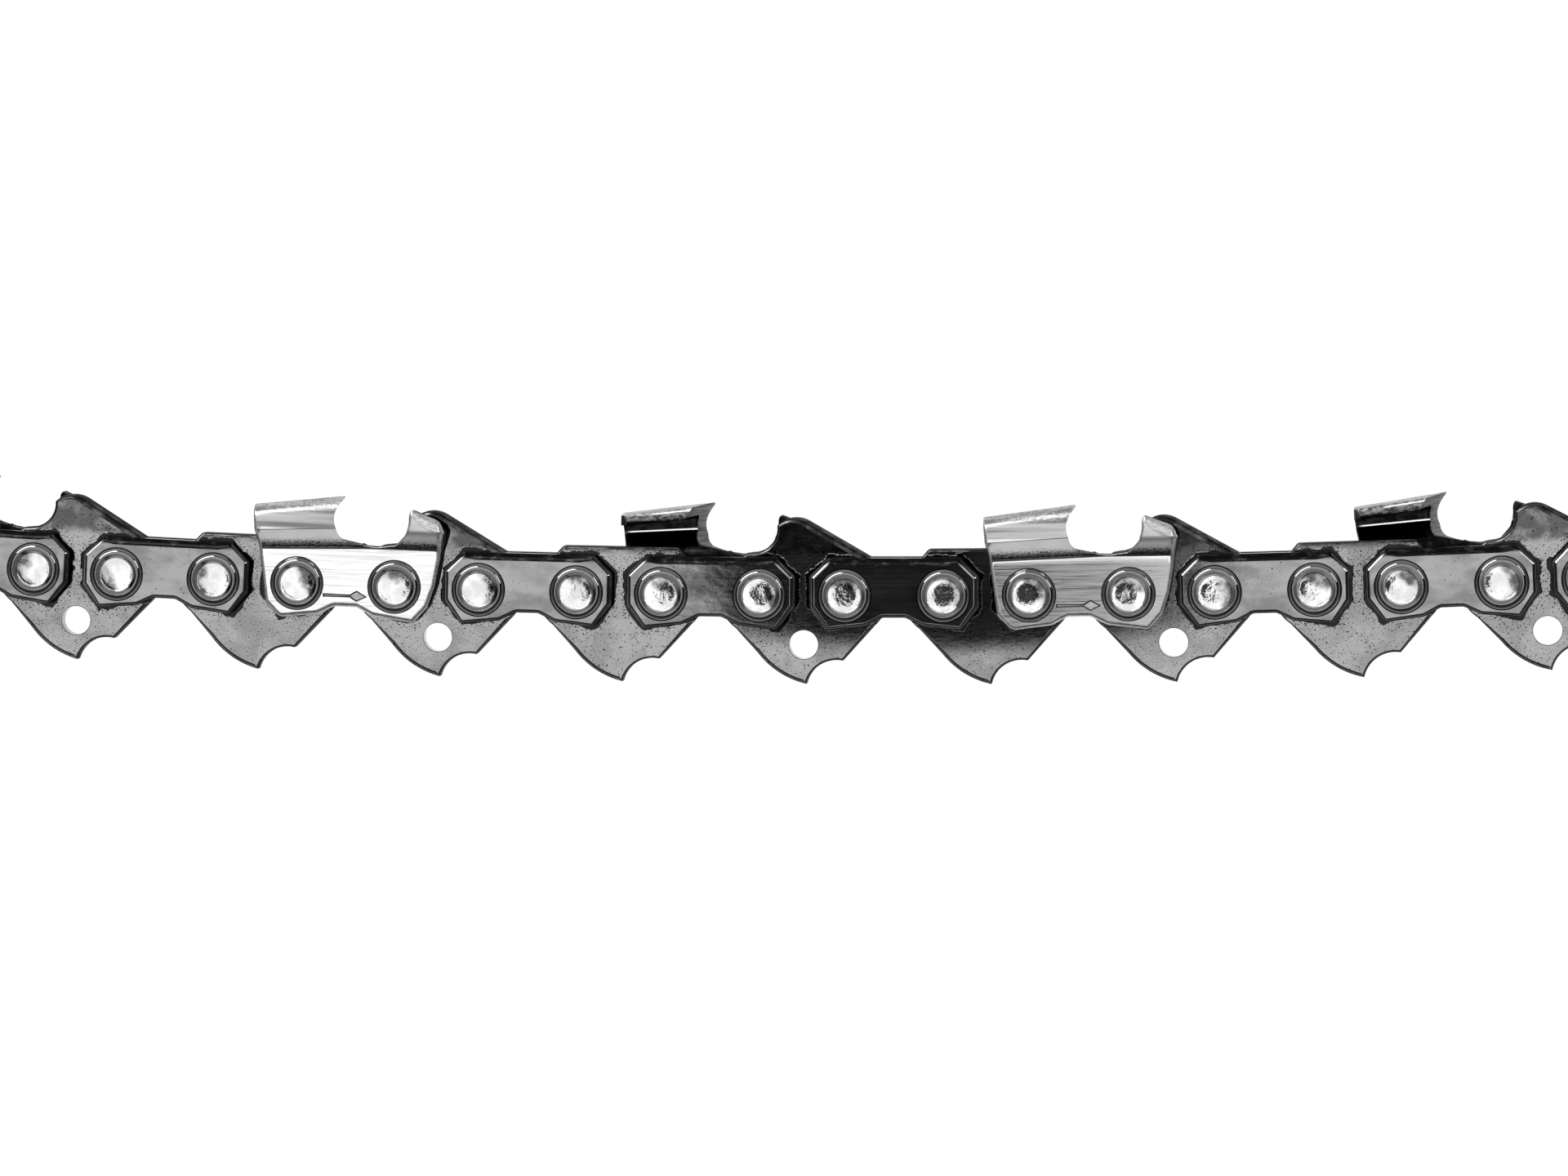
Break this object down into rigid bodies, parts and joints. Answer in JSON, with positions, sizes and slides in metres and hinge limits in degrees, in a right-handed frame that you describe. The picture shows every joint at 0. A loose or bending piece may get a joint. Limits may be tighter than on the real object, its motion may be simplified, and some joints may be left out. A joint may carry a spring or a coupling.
{
  "type": "chainsaw chain",
  "caption": "Stretch of full-sequence saw chain: cutters with depth gauges on alternate sides, tie straps, plain and bumper drive links, all turning on riveted joints.",
  "frame": {"origin": "middle of the open rivet hole in the trailing drive link, halfway through the link's thickness", "axes": "+X along the chain's way of travel to the leading open rivet hole, +Y from the drive tangs to the cutters, +Z along the rivets towards the right-hand cutters; the chain lies flat on its left side"},
  "size_m": [0.1802, 0.0182, 0.0072],
  "materials": {
    "drive_link_steel": "oiled, blued stamped steel",
    "strap_steel": "oiled, blued steel with bevelled edges",
    "cutter_chrome": "chrome plated over brushed steel",
    "rivet_steel": "bright spun steel"
  },
  "bodies": {
    "link_01": {"drive_link_01": "drive_link_steel"},
    "link_02": {"right_strap_02": "strap_steel", "left_cutter_02": "cutter_chrome", "rivet_01": "rivet_steel", "rivet_02": "rivet_steel"},
    "link_03": {"bumper_link_03": "drive_link_steel"},
    "link_04": {"right_strap_04": "strap_steel", "left_strap_04": "strap_steel", "rivet_03": "rivet_steel", "rivet_04": "rivet_steel"},
    "link_05": {"drive_link_05": "drive_link_steel"},
    "link_06": {"right_cutter_06": "cutter_chrome", "left_strap_06": "strap_steel", "rivet_05": "rivet_steel", "rivet_06": "rivet_steel"},
    "link_07": {"bumper_link_07": "drive_link_steel"},
    "link_08": {"right_strap_08": "strap_steel", "left_strap_08": "strap_steel", "rivet_07": "rivet_steel", "rivet_08": "rivet_steel"},
    "link_09": {"drive_link_09": "drive_link_steel"},
    "link_10": {"right_strap_10": "strap_steel", "left_cutter_10": "cutter_chrome", "rivet_09": "rivet_steel", "rivet_10": "rivet_steel"},
    "link_11": {"bumper_link_11": "drive_link_steel"},
    "link_12": {"right_strap_12": "strap_steel", "left_strap_12": "strap_steel", "rivet_11": "rivet_steel", "rivet_12": "rivet_steel"},
    "link_13": {"drive_link_13": "drive_link_steel"},
    "link_14": {"right_cutter_14": "cutter_chrome", "left_strap_14": "strap_steel", "rivet_13": "rivet_steel", "rivet_14": "rivet_steel"},
    "link_15": {"bumper_link_15": "drive_link_steel"},
    "link_16": {"right_strap_16": "strap_steel", "left_strap_16": "strap_steel", "rivet_15": "rivet_steel", "rivet_16": "rivet_steel"},
    "link_17": {"drive_link_17": "drive_link_steel"},
    "link_18": {"right_strap_18": "strap_steel", "left_cutter_18": "cutter_chrome", "rivet_17": "rivet_steel", "rivet_18": "rivet_steel"},
    "link_19": {"bumper_link_19": "drive_link_steel"},
    "link_20": {"right_strap_20": "strap_steel", "left_strap_20": "strap_steel", "rivet_19": "rivet_steel", "rivet_20": "rivet_steel"},
    "link_21": {"drive_link_21": "drive_link_steel"}
  },
  "joints": [
    {"name": "rivet_01_pivot", "type": "hinge", "parent": "link_02", "child": "link_01", "pos_m": [0.00763, -0.0005, 0], "axis": [0, 0, 1], "range_deg": [-9, 28]},
    {"name": "rivet_02_pivot", "type": "hinge", "parent": "link_03", "child": "link_02", "pos_m": [0.01648, -0.00102, 0], "axis": [0, 0, 1], "range_deg": [-9, 28]},
    {"name": "rivet_03_pivot", "type": "hinge", "parent": "link_04", "child": "link_03", "pos_m": [0.02412, -0.00143, 0], "axis": [0, 0, 1], "range_deg": [-9, 28]},
    {"name": "rivet_04_pivot", "type": "hinge", "parent": "link_05", "child": "link_04", "pos_m": [0.03297, -0.00183, 0], "axis": [0, 0, 1], "range_deg": [-9, 28]},
    {"name": "rivet_05_pivot", "type": "hinge", "parent": "link_06", "child": "link_05", "pos_m": [0.04061, -0.00213, 0], "axis": [0, 0, 1], "range_deg": [-9, 28]},
    {"name": "rivet_06_pivot", "type": "hinge", "parent": "link_07", "child": "link_06", "pos_m": [0.04947, -0.00242, 0], "axis": [0, 0, 1], "range_deg": [-9, 28]},
    {"name": "rivet_07_pivot", "type": "hinge", "parent": "link_08", "child": "link_07", "pos_m": [0.05711, -0.00263, 0], "axis": [0, 0, 1], "range_deg": [-9, 28]},
    {"name": "rivet_08_pivot", "type": "hinge", "parent": "link_09", "child": "link_08", "pos_m": [0.06597, -0.0028, 0], "axis": [0, 0, 1], "range_deg": [-9, 28]},
    {"name": "rivet_09_pivot", "type": "hinge", "parent": "link_10", "child": "link_09", "pos_m": [0.07362, -0.0029, 0], "axis": [0, 0, 1], "range_deg": [-9, 28]},
    {"name": "rivet_10_pivot", "type": "hinge", "parent": "link_11", "child": "link_10", "pos_m": [0.08248, -0.00296, 0], "axis": [0, 0, 1], "range_deg": [-9, 28]},
    {"name": "rivet_11_pivot", "type": "hinge", "parent": "link_11", "child": "link_12", "pos_m": [0.09013, -0.00296, 0], "axis": [0, 0, 1], "range_deg": [-28, 9]},
    {"name": "rivet_12_pivot", "type": "hinge", "parent": "link_12", "child": "link_13", "pos_m": [0.09899, -0.0029, 0], "axis": [0, 0, 1], "range_deg": [-28, 9]},
    {"name": "rivet_13_pivot", "type": "hinge", "parent": "link_13", "child": "link_14", "pos_m": [0.10664, -0.0028, 0], "axis": [0, 0, 1], "range_deg": [-28, 9]},
    {"name": "rivet_14_pivot", "type": "hinge", "parent": "link_14", "child": "link_15", "pos_m": [0.1155, -0.00263, 0], "axis": [0, 0, 1], "range_deg": [-28, 9]},
    {"name": "rivet_15_pivot", "type": "hinge", "parent": "link_15", "child": "link_16", "pos_m": [0.12315, -0.00242, 0], "axis": [0, 0, 1], "range_deg": [-28, 9]},
    {"name": "rivet_16_pivot", "type": "hinge", "parent": "link_16", "child": "link_17", "pos_m": [0.132, -0.00213, 0], "axis": [0, 0, 1], "range_deg": [-28, 9]},
    {"name": "rivet_17_pivot", "type": "hinge", "parent": "link_17", "child": "link_18", "pos_m": [0.13965, -0.00183, 0], "axis": [0, 0, 1], "range_deg": [-28, 9]},
    {"name": "rivet_18_pivot", "type": "hinge", "parent": "link_18", "child": "link_19", "pos_m": [0.1485, -0.00143, 0], "axis": [0, 0, 1], "range_deg": [-28, 9]},
    {"name": "rivet_19_pivot", "type": "hinge", "parent": "link_19", "child": "link_20", "pos_m": [0.15614, -0.00102, 0], "axis": [0, 0, 1], "range_deg": [-28, 9]},
    {"name": "rivet_20_pivot", "type": "hinge", "parent": "link_20", "child": "link_21", "pos_m": [0.16498, -0.0005, 0], "axis": [0, 0, 1], "range_deg": [-28, 9]}
  ]
}
